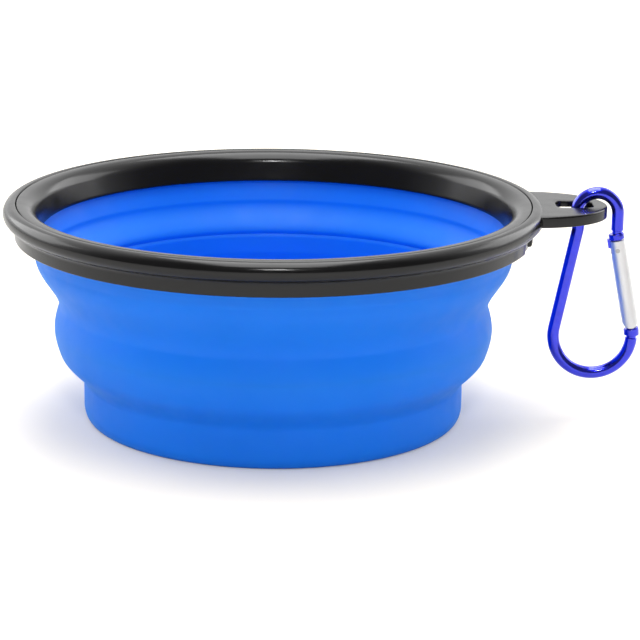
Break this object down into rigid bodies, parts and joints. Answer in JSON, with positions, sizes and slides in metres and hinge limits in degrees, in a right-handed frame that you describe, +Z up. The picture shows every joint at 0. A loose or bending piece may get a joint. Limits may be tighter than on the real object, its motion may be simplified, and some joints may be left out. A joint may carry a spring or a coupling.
{
  "type": "collapsible silicone bowl",
  "caption": "Collapsible travel bowl of soft silicone that folds flat in rings, with a stiff two-part rim, a hanging tab and a small spring-gate clip.",
  "frame": {"origin": "centre of the base's flat underside, on the bowl's axis", "axes": "+Z up along the bowl's axis and out of its mouth, +X towards the hanging tab and its clip"},
  "size_m": [0.1554, 0.1308, 0.0572],
  "materials": {
    "silicone": "soft satin blue silicone",
    "rim_plastic": "glossy black moulded plastic",
    "blue_anodised": "bright blue anodised aluminium rod",
    "bare_aluminium": "bare satin aluminium",
    "steel": "plain steel"
  },
  "bodies": {
    "base": {"base_cup": "silicone", "lower_fold": "silicone"},
    "mid": {"mid_wall": "silicone", "upper_fold": "silicone"},
    "rim": {"upper_wall": "silicone", "outer_ring": "rim_plastic", "inner_ring": "rim_plastic"},
    "carabiner": {"carabiner_body": "blue_anodised"},
    "gate": {"gate": "bare_aluminium", "hinge_pin": "steel", "latch_pin": "steel", "gate_spring": "steel", "plunger": "steel"}
  },
  "joints": [
    {"name": "lower_fold_slide", "type": "slide", "parent": "base", "child": "mid", "axis": [0, 0, 1], "range_m": [-0.014, 0], "deforming": ["lower_fold"]},
    {"name": "upper_fold_slide", "type": "slide", "parent": "mid", "child": "rim", "axis": [0, 0, 1], "range_m": [-0.026, 0], "deforming": ["upper_fold"]},
    {"name": "clip_swing", "type": "hinge", "parent": "rim", "child": "carabiner", "pos_m": [0.07845, 0, 0.05068], "axis": [0, -1, 0], "range_deg": [-24, 90]},
    {"name": "gate_hinge", "type": "hinge", "parent": "carabiner", "child": "gate", "pos_m": [0.08748, 0, 0.0241], "axis": [0, -1, 0], "range_deg": [0, 22], "stiffness_Nm_per_rad": 0.01, "springref_deg": -28.65}
  ],
  "couplings": [
    {"joint": "lower_fold_slide", "follows": "upper_fold_slide", "ratio": 0.53846}
  ]
}
